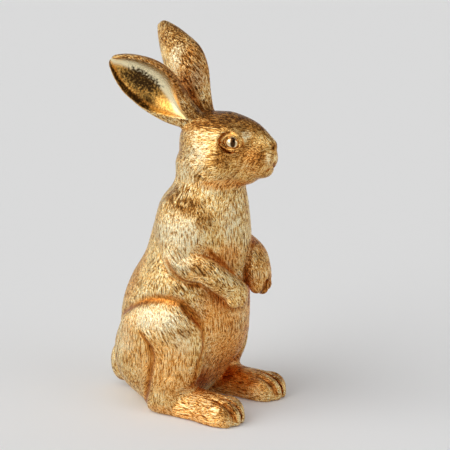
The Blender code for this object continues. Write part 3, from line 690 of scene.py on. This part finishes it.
def comb(points, normals, weights, calm):
    """Height of the tufts at the points of the skin, and a tone that each tuft has of its own."""
    rng = np.random.default_rng(11)
    # One root to about every cell of the spacing
    shuffled = rng.permutation(len(points))
    cells = np.floor(points[shuffled] / TUFT_SPACING).astype(np.int64) + 500
    key = (cells[:, 0] * 4096 + cells[:, 1]) * 4096 + cells[:, 2]
    roots = shuffled[np.unique(key, return_index=True)[1]]
    size = sum(weights[name][roots, None] * np.array(TUFTS[name]) for name in TUFTS)
    length = size[:, 0] * rng.uniform(0.75, 1.3, len(roots)) * (1.0 - 0.35 * calm[roots])
    half_width = size[:, 1] * rng.uniform(0.8, 1.25, len(roots))
    stand = rng.uniform(0.72, 1.0, len(roots))
    tone = rng.uniform(0.0, 1.0, len(roots))
    way = lie_of_coat(points[roots], normals[roots], {name: w[roots] for name, w in weights.items()})
    way = turned(way, normals[roots], rng.normal(0.0, TUFT_TURN, len(roots)))
    across = np.cross(normals[roots], way)
    middle = points[roots] + way * (length / 2)[:, None]
    found = []
    for tuft, point in near_pairs(points, middle, TUFT_CELL):
        offset = points[point] - points[roots[tuft]]
        v = np.sum(offset * way[tuft], 1) / length[tuft]
        keep = (v > 0.0) & (v < 1.0)
        tuft, point, offset, v = tuft[keep], point[keep], offset[keep], v[keep]
        taper = np.clip((1.0 - v) / 0.5, 0.0, 1.0)**0.6 * (0.7 + 0.3 * v)
        u = np.abs(np.sum(offset * across[tuft], 1)) / (half_width[tuft] * taper + 1e-6)
        rise = np.abs(np.sum(offset * normals[roots[tuft]], 1))
        keep = (u < 1.0) & (rise < TUFT_RISE)
        tuft, point, u, v = tuft[keep], point[keep], u[keep], v[keep]
        found.append((point, stand[tuft] * (1.0 - u**2) * (0.2 + 0.8 * v**0.8), tuft))
    point, height, tuft = [np.concatenate(batches) for batches in zip(*found)]
    rank = np.argsort(height, kind="stable")
    heights = np.zeros(len(points), np.float32)
    tones = np.full(len(points), 0.5, np.float32)
    heights[point[rank]] = height[rank]
    tones[point[rank]] = tone[tuft[rank]]
    amount = sum(weights[name] * TUFTS[name][2] for name in TUFTS) * (1.0 - calm)
    return heights, tones, amount


# Meshes

def face_normals(points, quads):
    corner = points[quads]
    return np.cross(corner[:, 2] - corner[:, 0], corner[:, 3] - corner[:, 1])


def point_normals(points, quads):
    faces = face_normals(points, quads)
    total = np.zeros_like(points)
    for i in range(4):
        for axis in range(3):
            total[:, axis] += np.bincount(quads[:, i], weights=faces[:, axis], minlength=len(points))
    return unit(total)


def border_loops(quads):
    """Closed chains of points along the open borders of a skin."""
    a = quads.ravel()
    b = np.roll(quads, -1, axis=1).ravel()
    used = set(zip(b.tolist(), a.tolist()))
    border = {}
    for start, end in zip(a.tolist(), b.tolist()):
        if (start, end) not in used:
            border.setdefault(start, []).append(end)
    loops = []
    while border:
        start = next(iter(border))
        loop = [start]
        while loop[-1] in border:
            ends = border[loop[-1]]
            follow = ends.pop()
            if not ends:
                del border[loop[-1]]
            loop.append(follow)
            if follow == start:
                break
        loops.append(loop)
    return loops


def placed(name, data):
    thing = bpy.data.objects.new(name, data)
    bpy.context.scene.collection.objects.link(thing)
    return thing


def mesh_object(name, points, quads, triangles, normals, attributes, mat):
    mesh = bpy.data.meshes.new(name)
    mesh.vertices.add(len(points))
    places = np.ascontiguousarray((points + DRAWING_TO_PART) * MM, dtype=np.float32)
    mesh.vertices.foreach_set("co", places.ravel())
    corners = np.concatenate([quads.ravel(), triangles.ravel()]).astype(np.int32)
    starts = np.concatenate([np.arange(0, quads.size, 4), quads.size + np.arange(0, triangles.size, 3)])
    mesh.loops.add(len(corners))
    mesh.loops.foreach_set("vertex_index", corners)
    mesh.polygons.add(len(starts))
    mesh.polygons.foreach_set("loop_start", starts.astype(np.int32))
    mesh.update(calc_edges=True)
    mesh.shade_smooth()
    mesh.normals_split_custom_set_from_vertices(normals)
    for key, values in attributes.items():
        kind, word = ("FLOAT", "value") if values.ndim == 1 else ("FLOAT_VECTOR", "vector")
        values = np.ascontiguousarray(values, dtype=np.float32).ravel()
        mesh.attributes.new(key, kind, "POINT").data.foreach_set(word, values)
    mesh.materials.append(mat)
    return placed(name, mesh)


def divided(points, quads, labels, names, normals, attributes, mat):
    """One closed piece for each casting, out of the skin of the whole form."""
    pieces = {}
    for index, name in enumerate(names):
        own = quads[labels == index]
        used, own = np.unique(own, return_inverse=True)
        own = own.reshape(-1, 4)
        own_points = points[used]
        extra, triangles = [], []
        for loop in border_loops(own):
            middle = len(used) + len(extra)
            extra.append(own_points[loop].mean(0))
            triangles += [(b, a, middle) for a, b in zip(loop, loop[1:])]
        own_points = np.concatenate([own_points, np.array(extra, np.float32)])
        own_normals = np.concatenate([normals[used], np.tile((0.0, 0.0, 1.0), (len(extra), 1))])
        rows = {key: np.concatenate([values[used], np.zeros((len(extra), *values.shape[1:]), values.dtype)])
                for key, values in attributes.items()}
        triangles = np.array(triangles, np.int64)
        pieces[name] = mesh_object(name + "_skin", own_points, own, triangles, own_normals, rows, mat)
    return pieces


def calm_places(points, weights, hollow):
    """How flat the coat lies, from 0 to 1: none grows in the ears' hollows, on the lids or on the nose."""
    calm = [hollow, ease(5.0, 3.0, norms(points - HEAD - NOSE)), ease(2.0, 1.0, points[:, 2]),
            HEAD_CALM * weights["head"],
            HIND_LEG_CALM * (weights["hind_leg_left"] + weights["hind_leg_right"])]
    for side, s in SIDES.items():
        from_eye = norms((points - HEAD - mirrored(EYE, s)) / (1.0, 1.25, 1.0))
        from_paw = norms(points - (mirrored(SHOULDER, s) + PAW_TOES[side][1]))
        calm += [ease(10.0, 6.5, from_eye), PAW_CALM * ease(17.0, 9.0, from_paw)]
    return np.maximum.reduce(calm)


def leaf_patches(points):
    """Strength at the points of each kind of painted light: shade and dark reflections, warm shade and
    highlights.
    """
    patches = {key: np.zeros(len(points)) for key in ("root", *PATCHES)}
    for key, rows in PATCHES.items():
        for row in rows:
            for side in row[7:] or (-1, 1):
                gap = norms((points - mirrored(row[:3], -side)) / row[3:6])
                patches[key] = np.maximum(patches[key], row[6] * ease(1.4, 0.45, gap))
    return patches


def tint_hollow(points, side, inside, patches):
    """Painted light in the hollow of an ear: a dark reflection in the middle, a highlight beside it towards
    the upper rim.
    """
    root, length, along, across, facing = ear_frame(side)
    share = (points - root) @ along / length
    offset = -SIDES[side] * ((points - root) @ across) + spline(share, EAR_SHARES, EAR_BOW[side])
    edge = offset / (spline(share, EAR_SHARES, EAR_HALF_WIDTH[side]) - EAR_WALL)
    gap = np.hypot((share - DARK_ALONG[0]) / DARK_ALONG[1], (offset - DARK_ACROSS[0]) / DARK_ACROSS[1])
    # Painted dark reflection with a line of painted shade along the lower edge, painted highlight, warm
    # painted shade at the upper rim, and painted shade near the root
    tints = {
        "shade_and_dark_reflection": np.maximum(ease(1.4, 0.3, gap), ease(-0.84, -0.97, edge)),
        "painted_highlight": ease(-5.5, -2.0, offset) * ease(0.86, 0.62, edge),
        "warm_shade": ease(0.55, 0.75, edge),
        "root": ease(0.26, 0.10, share),
    }
    for key, tint in tints.items():
        patches[key] = np.where(inside > 0.3, tint, patches[key])


def sculpt():
    """The furred skin of the whole rabbit, as pieces by node name."""
    parts, hollows = castings()
    form = joined_form(parts)
    points, quads = skin_of(form)
    faces = face_normals(points, quads)
    normals = form.outward(points)
    if np.mean(np.sum(faces * normals[quads[:, 0]], 1)) < 0:
        quads = quads[:, ::-1]
    names = list(parts)
    near = np.stack([parts[name].at(points) for name in names])
    labels = np.argmin(np.stack([parts[name].at(points[quads].mean(1)) for name in names]), 0)
    share = np.exp(-np.maximum(near - near.min(0), 0.0) / COAT_BLEND)
    share /= share.sum(0)
    weights = dict(zip(names, share))
    inside = {side: ease(*HOLLOW_RIM, hollows[side].at(points)) for side in SIDES}
    hollow = np.maximum(*inside.values())
    calm = calm_places(points, weights, hollow)
    patches = leaf_patches(points)
    # Shade painted along the creases: the coat lies flatter there, with warm painted shade and a narrower
    # dark painted shade
    for line, fade, depth, width, strength in CREASES:
        for side in (-1, 1):
            gap = gap_to_line(points, normals, mirrored(line, -side))
            tint = strength * np.exp(-(gap / width)**2)
            calm = np.maximum(calm, CREASE_CALM * tint)
            patches["warm_shade"] = np.maximum(patches["warm_shade"], CREASE_WARM_SHADE * tint)
            dark = CREASE_DARK_SHADE * strength * np.exp(-(gap / DARK_SHADE_WIDTH)**2)
            patches["shade_and_dark_reflection"] = np.maximum(patches["shade_and_dark_reflection"], dark)
    for side in SIDES:
        tint_hollow(points, side, inside[side], patches)
    height, tone, amount = comb(points, normals, weights, calm)
    # Painted shade where the skin is closed in: how little open space lies along each reach
    painted_crease_shade = sum(np.clip(1.0 - form.at(points + reach * normals) / reach, 0.0, 1.0) * 0.5
                 for reach in CREASE_REACHES)
    lie = lie_of_coat(points, normals, weights)
    clumps = 0.5 * noise(points, 7.0, 21) + 0.3 * noise(points, 3.6, 22)
    lift = amount * (height - TUFT_MEAN + CLUMP_LIFT * clumps)
    carved = points + lift[:, None].astype(np.float32) * normals
    carved[:, 2] = np.maximum(carved[:, 2], GROUND_Z)
    hair = np.abs(lie @ unit(np.array(HAIR_AXES, float)).T)**HAIR_FOCUS
    hair /= hair.sum(1)[:, None]
    attributes = {"relief": height * (1.0 - calm) + FLAT_RELIEF * calm, "tone": tone, "painted_crease_shade": painted_crease_shade,
                  "polish": hollow, "calm": calm, **patches}
    for i in range(3):
        attributes["hair_%d" % i] = hair[:, 3 * i:3 * i + 3]
    normals = point_normals(carved, quads)
    return divided(carved, quads, labels, names, normals, attributes, gold_leaf())


# Materials

class Value:
    """An output of a node, for sums and products with numbers and other outputs."""

    def __init__(self, graph, socket):
        self.graph = graph
        self.socket = socket

    def __add__(self, other):
        return self.graph.math("ADD", self, other)

    def __sub__(self, other):
        return self.graph.math("SUBTRACT", self, other)

    def __rsub__(self, other):
        return self.graph.math("SUBTRACT", other, self)

    def __mul__(self, other):
        return self.graph.math("MULTIPLY", self, other)


class Graph:
    """Short words for the nodes of a material."""

    def __init__(self, tree):
        self.tree = tree

    def feed(self, socket, value):
        if isinstance(value, Value):
            self.tree.links.new(value.socket, socket)
        elif value is not None:
            socket.default_value = value

    def node(self, kind, inputs, output=0, **settings):
        """An output of a new node, its inputs fed by number or name."""
        node = self.tree.nodes.new(kind)
        for key, value in settings.items():
            setattr(node, key, value)
        for key, value in inputs.items():
            self.feed(node.inputs[key], value)
        return Value(self, node.outputs[output])

    def math(self, operation, *values):
        return self.node("ShaderNodeMath", dict(enumerate(values)), operation=operation)

    def dot(self, a, b):
        return self.node("ShaderNodeVectorMath", {0: a, 1: b}, "Value", operation="DOT_PRODUCT")

    def mix(self, share, a, b, blend="MIX"):
        a, b = [colour if isinstance(colour, Value) else (*colour, 1.0) for colour in (a, b)]
        return self.node("ShaderNodeMix", {0: share, 6: a, 7: b}, 2, data_type="RGBA", blend_type=blend)

    def ramp(self, value, stops):
        node = self.tree.nodes.new("ShaderNodeValToRGB")
        elements = node.color_ramp.elements
        while len(elements) < len(stops):
            elements.new(0.5)
        for element, (place, colour) in zip(elements, stops):
            element.position = place
            element.color = (*colour, 1.0)
        self.feed(node.inputs[0], value)
        return Value(self, node.outputs[0])

    def span(self, value, low, high, to_low=0.0, to_high=1.0):
        inputs = dict(enumerate((value, low, high, to_low, to_high)))
        return self.node("ShaderNodeMapRange", inputs, interpolation_type="SMOOTHSTEP")

    def attribute(self, name, output="Fac"):
        return self.node("ShaderNodeAttribute", {}, output, attribute_name=name)

    def place(self):
        return self.node("ShaderNodeTexCoord", {}, "Object")

    def stretched(self, scale, turn=(0.0, 0.0, 0.0)):
        """Places in a frame that is turned, with each of its axes stretched by a scale."""
        inputs = {"Vector": self.place(), "Rotation": turn, "Scale": scale}
        return self.node("ShaderNodeMapping", inputs, vector_type="TEXTURE")

    def noise(self, size, detail=2.0, roughness=0.5, vector=None):
        return self.node("ShaderNodeTexNoise", {
            "Scale": 1.0 / size, "Detail": detail, "Roughness": roughness, "Vector": vector or self.place()})

    def bump(self, height, distance, strength=1.0, normal=None):
        return self.node("ShaderNodeBump", {
            "Strength": strength, "Distance": distance, "Height": height, "Normal": normal})


def new_material(name, colour, roughness, metallic=0.0):
    mat = bpy.data.materials.new(name)
    mat.use_nodes = True
    shader = mat.node_tree.nodes["Principled BSDF"]
    shader.inputs["Base Color"].default_value = (*colour, 1.0)
    shader.inputs["Roughness"].default_value = roughness
    shader.inputs["Metallic"].default_value = metallic
    return mat, Graph(mat.node_tree), shader


def fine_hairs(g):
    """Stretched noise along the hair axes, each weighed by how near the lie of the coat is to it."""
    scale = HAIR_WIDTH * MM, HAIR_WIDTH * MM, HAIR_LENGTH * MM
    turns = [Vector(axis).to_track_quat("Z", "X").to_euler() for axis in HAIR_AXES]
    shares = []
    for i in range(3):
        hairs = [g.noise(1.0, 2.2, 0.6, g.stretched(scale, turn)) for turn in turns[3 * i:3 * i + 3]]
        three = g.node("ShaderNodeCombineXYZ", dict(enumerate(hairs)))
        shares.append(g.dot(three, g.attribute("hair_%d" % i, "Vector")))
    return g.span(shares[0] + shares[1] + shares[2], 0.32, 0.68)


def gold_leaf():
    mat, g, shader = new_material("gold_leaf", (0.8, 0.5, 0.2), 0.35, 1.0)
    relief, tone, painted_crease_shade, polish, calm, shade_and_dark_reflection, warm_shade, painted_highlight, root = [g.attribute(key) for key in (
        "relief", "tone", "painted_crease_shade", "polish", "calm", "shade_and_dark_reflection", "warm_shade", "painted_highlight", "root")]
    hairs = fine_hairs(g)
    blotch = g.noise(0.009, 3.0, 0.6)
    speck = g.noise(0.0014, 3.0, 0.7)
    # Coat: its tone rises with the tufts and the fine hairs, as painted highlights on their tops and painted
    # shade between them
    streaks = (hairs - 0.21) * g.span(calm, 0.0, 0.9, 0.86, 0.32)
    painted_light = relief * 0.45 + streaks + tone * 0.12 + (blotch - 0.5) * 0.50
    painted_light = painted_light + painted_highlight * 0.17 - shade_and_dark_reflection * 0.20 + warm_shade * 0.03
    gold = g.ramp(painted_light, [
        (0.08, (0.13, 0.045, 0.009)),
        (0.29, (0.48, 0.205, 0.038)),
        (0.50, (0.88, 0.51, 0.15)),
        (0.71, (1.0, 0.77, 0.37)),
        (0.96, (1.0, 0.89, 0.58)),
    ])
    # Painted highlights pale the leaf
    gold = g.mix(painted_highlight * g.span(painted_light, 0.30, 0.65, 0.0, 0.5), gold, (0.97, 0.865, 0.625))
    # Warm painted shade
    gold = g.mix(warm_shade * 0.85, gold, (1.0, 0.63, 0.33), "MULTIPLY")
    # Painted shade in creases and hollows
    crease_shade_share = g.span(painted_crease_shade, 0.16, 0.60, 0.0, 0.9) * g.span(calm, 0.5, 0.9, 1.0, 0.3)
    gold = g.mix(crease_shade_share, gold, (0.72, 0.46, 0.26), "MULTIPLY")
    # Painted shade and painted dark reflections
    gold = g.mix(shade_and_dark_reflection * 0.8, gold, (0.58, 0.46, 0.34), "MULTIPLY")
    # Leaf that is worn to the brown between the hairs in blotches, and the same brown painted as shade
    # between the hairs under the painted shade and dark reflections
    bare_and_shaded = g.math("MAXIMUM", g.span(blotch, 0.40, 0.60, 0.0, 0.75), shade_and_dark_reflection)
    worn_and_shaded = g.span(hairs, 0.36, 0.16) * bare_and_shaded
    gold = g.mix(worn_and_shaded * 0.6, gold, (0.07, 0.034, 0.010))
    # Burnished hollows of the ears, with painted highlights, painted shade near the root, warm painted shade
    # and a mottled painted dark reflection
    hollow = g.mix(g.span(speck, 0.38, 0.62), (0.52, 0.23, 0.04), (0.86, 0.50, 0.13))
    hollow = g.mix(painted_highlight, hollow, (1.0, 0.87, 0.55))
    hollow = g.mix(root, hollow, (0.62, 0.44, 0.20))
    hollow = g.mix(warm_shade, hollow, (0.95, 0.62, 0.34))
    mottled_reflection = g.span(shade_and_dark_reflection + (g.noise(0.0019, 4.0, 0.75) - 0.5) * 3.0, 0.30, 0.95)
    hollow = g.mix(mottled_reflection * g.span(shade_and_dark_reflection, 0.0, 0.25), hollow, (0.05, 0.025, 0.008))
    g.feed(shader.inputs["Base Color"], g.mix(polish, gold, hollow))
    g.feed(shader.inputs["Roughness"], (speck * 0.20 + 0.17) * g.span(polish, 0.0, 1.0, 1.0, 0.8))
    normal = g.bump(hairs * g.span(calm, 0.0, 1.0, 1.0, 0.1), 0.00045)
    g.feed(shader.inputs["Normal"], g.bump(speck, 0.00020, 0.45, normal))
    return mat


def polished_gold():
    mat, g, shader = new_material("polished_gold", (0.88, 0.66, 0.34), 0.1, 1.0)
    cloud = g.noise(0.0022)
    gold = g.ramp(cloud, [(0.3, (0.86, 0.62, 0.30)), (0.7, (0.97, 0.82, 0.55))])
    # Dark reflection painted on the front of the eye
    g.feed(shader.inputs["Base Color"], g.mix(g.attribute("painted_reflection"), gold, (0.07, 0.03, 0.01)))
    g.feed(shader.inputs["Roughness"], cloud * 0.10 + 0.08)
    return mat


def grained(name, colour, roughness, grain, tones, bump, spread=None, metallic=0.0, sheen=0.0, scale=None):
    """Material with a grain in its colour and relief and, over a spread, in its roughness."""
    mat, g, shader = new_material(name, colour, roughness, metallic)
    value = g.noise(*grain, g.stretched(scale) if scale else None)
    g.feed(shader.inputs["Base Color"], g.ramp(value, list(zip((0.3, 0.7), tones))))
    if spread:
        g.feed(shader.inputs["Roughness"], g.span(value, 0.3, 0.7, *spread))
    g.feed(shader.inputs["Normal"], g.bump(value, bump))
    shader.inputs["Sheen Weight"].default_value = sheen
    return mat


def dress_inner_nodes():
    """Materials for the solids that stay: pads, plug, pins and dowel."""
    looks = {
        "pad": grained("felt", (0.16, 0.09, 0.05), 0.95, (0.0006, 4.0, 0.75),
                       ((0.09, 0.05, 0.03), (0.24, 0.14, 0.08)), 0.0003, sheen=0.4),
        "plug": grained("plug_rubber", (0.04, 0.04, 0.04), 0.7, (0.0009, 3.0, 0.6),
                        ((0.03, 0.03, 0.03), (0.065, 0.063, 0.06)), 0.0001, (0.6, 0.8)),
        "pin": grained("steel_pin", (0.55, 0.55, 0.56), 0.35, (0.0008, 3.0, 0.6),
                       ((0.46, 0.46, 0.47), (0.62, 0.62, 0.63)), 0.00005, (0.26, 0.46), metallic=1.0),
        "dowel": grained("dowel_wood", (0.62, 0.44, 0.26), 0.6, (1.0, 4.0, 0.6),
                         ((0.50, 0.33, 0.18), (0.70, 0.52, 0.32)), 0.0001, (0.5, 0.7),
                         scale=(0.0012, 0.0012, 0.03)),
    }
    for name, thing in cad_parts.items():
        for word, mat in looks.items():
            if word in name.split("_"):
                thing.data.materials.clear()
                thing.data.materials.append(mat)


# Eyes, camera and studio

def make_eyes():
    mat = polished_gold()
    for name, s in SIDES.items():
        centre = np.mean(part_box("eye_" + name), 0)
        bm = bmesh.new()
        bmesh.ops.create_uvsphere(bm, u_segments=64, v_segments=48, radius=1.0)
        gaze = Vector((GAZE[0] * s, *GAZE[1:])).normalized()
        upright = Vector((0, 0, 1)).cross(gaze).normalized()
        mesh = bpy.data.meshes.new("eye_dome_" + name)
        painted_reflections = []
        for vert in bm.verts:
            front = vert.co.dot(gaze)
            # The cornea stands a little proud of the ball
            swell = 1.0 + 0.03 * max(front, 0.0)**6
            # A dark reflection painted on the front, in the shape of a pupil
            aside = vert.co.dot(upright) / REFLECTION_SPOT[0]
            above = (vert.co - gaze * front).dot(gaze.cross(upright)) / REFLECTION_SPOT[1]
            spread = math.hypot(aside, above)
            painted_reflections.append(1.0 - float(ease(0.75, 1.05, spread)) if front > 0 else 0.0)
            vert.co = vert.co * swell * 0.97
        bm.to_mesh(mesh)
        bm.free()
        # Filling the opening of the lids, which is a little larger than the solid dome
        mesh.transform(Matrix.Translation(centre) @ Matrix.Diagonal((*(np.array(EYE_BALL) * MM), 1.0)))
        mesh.attributes.new("painted_reflection", "FLOAT", "POINT").data.foreach_set("value", painted_reflections)
        mesh.shade_smooth()
        mesh.materials.append(mat)
        piece = placed("eye_dome_" + name, mesh)
        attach(piece, "root")
        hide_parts("eye_" + name)


def direction(azimuth, elevation):
    a, e = math.radians(azimuth), math.radians(elevation)
    return math.sin(a) * math.cos(e), -math.cos(a) * math.cos(e), math.sin(e)


def add_camera():
    back = Vector(direction(VIEW_AZIMUTH, VIEW_ELEVATION))
    camera = placed("camera", bpy.data.cameras.new("camera"))
    camera.data.sensor_width = SENSOR_MM
    camera.data.lens = VIEW_DISTANCE * PIXELS_A_MM / PICTURE_PIXELS * SENSOR_MM
    camera.location = (Vector(VIEW_TARGET + DRAWING_TO_PART) + back * VIEW_DISTANCE) * MM
    camera.rotation_mode = "QUATERNION"
    camera.rotation_quaternion = (-back).to_track_quat("-Z", "Y")
    bpy.context.scene.camera = camera


def add_floor():
    """Pale floor to beyond the picture, lit by the room and a little by its own paleness."""
    bm = bmesh.new()
    bmesh.ops.create_circle(bm, cap_ends=True, segments=96, radius=7.0)
    mesh = bpy.data.meshes.new("floor")
    bm.to_mesh(mesh)
    bm.free()
    mat, g, shader = new_material("pale_floor", (FLOOR_COLOUR, FLOOR_COLOUR, FLOOR_COLOUR), 0.9)
    shader.inputs["Emission Color"].default_value = (1.0, 1.0, 1.0, 1.0)
    path = g.tree.nodes.new("ShaderNodeLightPath").outputs
    camera, glossy, through = [
        Value(g, path[key]) for key in ("Is Camera Ray", "Is Glossy Ray", "Is Transmission Ray")]
    seen = g.math("MAXIMUM", g.math("MAXIMUM", camera, glossy), through)
    g.feed(shader.inputs["Emission Strength"], seen * FLOOR_GLOW)
    mesh.materials.append(mat)
    floor = placed("floor", mesh)


def add_studio():
    """A pale room with soft boxes on both sides and a dark gap between them, behind the camera."""
    world = bpy.data.worlds.new("studio")
    world.use_nodes = True
    bpy.context.scene.world = world
    g = Graph(world.node_tree)
    background = world.node_tree.nodes["Background"]
    outward = g.node("ShaderNodeTexCoord", {}, "Generated")

    def towards(azimuth, elevation):
        return g.dot(outward, direction(azimuth, elevation))

    def zone(azimuth, elevation, reach, soft, amount):
        """Round patch of sky, its reach and soft edge in degrees."""
        edge = math.cos(math.radians(reach + soft)), math.cos(math.radians(max(reach - soft, 0.0)))
        return g.span(towards(azimuth, elevation), *edge, 0.0, amount)

    height = towards(0.0, 90.0)
    # Pale walls, and a darker ceiling from about 20 degrees up
    level = g.span(height, 0.22, 0.50, 0.69, 0.34)
    for azimuth, *box in SOFT_BOXES:
        level = level + zone(VIEW_AZIMUTH + azimuth, *box)
    # Dark gap behind the camera, in the upright plane that it looks along
    aside = g.math("ABSOLUTE", towards(VIEW_AZIMUTH + 92.0, 0.0))
    gap = g.span(aside, 0.10, 0.36, 0.92, 0.0) * g.span(height, 0.14, 0.32)
    gap = gap * g.span(height, 0.75, 0.95, 1.0, 0.0) * g.span(towards(VIEW_AZIMUTH, 0.0), 0.0, 0.3)
    g.feed(background.inputs["Strength"], level * (1.0 - gap))
    background.inputs["Color"].default_value = (1.0, 1.0, 1.0, 1.0)


def main():
    bpy.context.scene.view_settings.view_transform = "Standard"
    add_camera()
    for name, piece in sculpt().items():
        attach(piece, "root")
        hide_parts(name)
    make_eyes()
    dress_inner_nodes()
    add_floor()
    add_studio()


main()
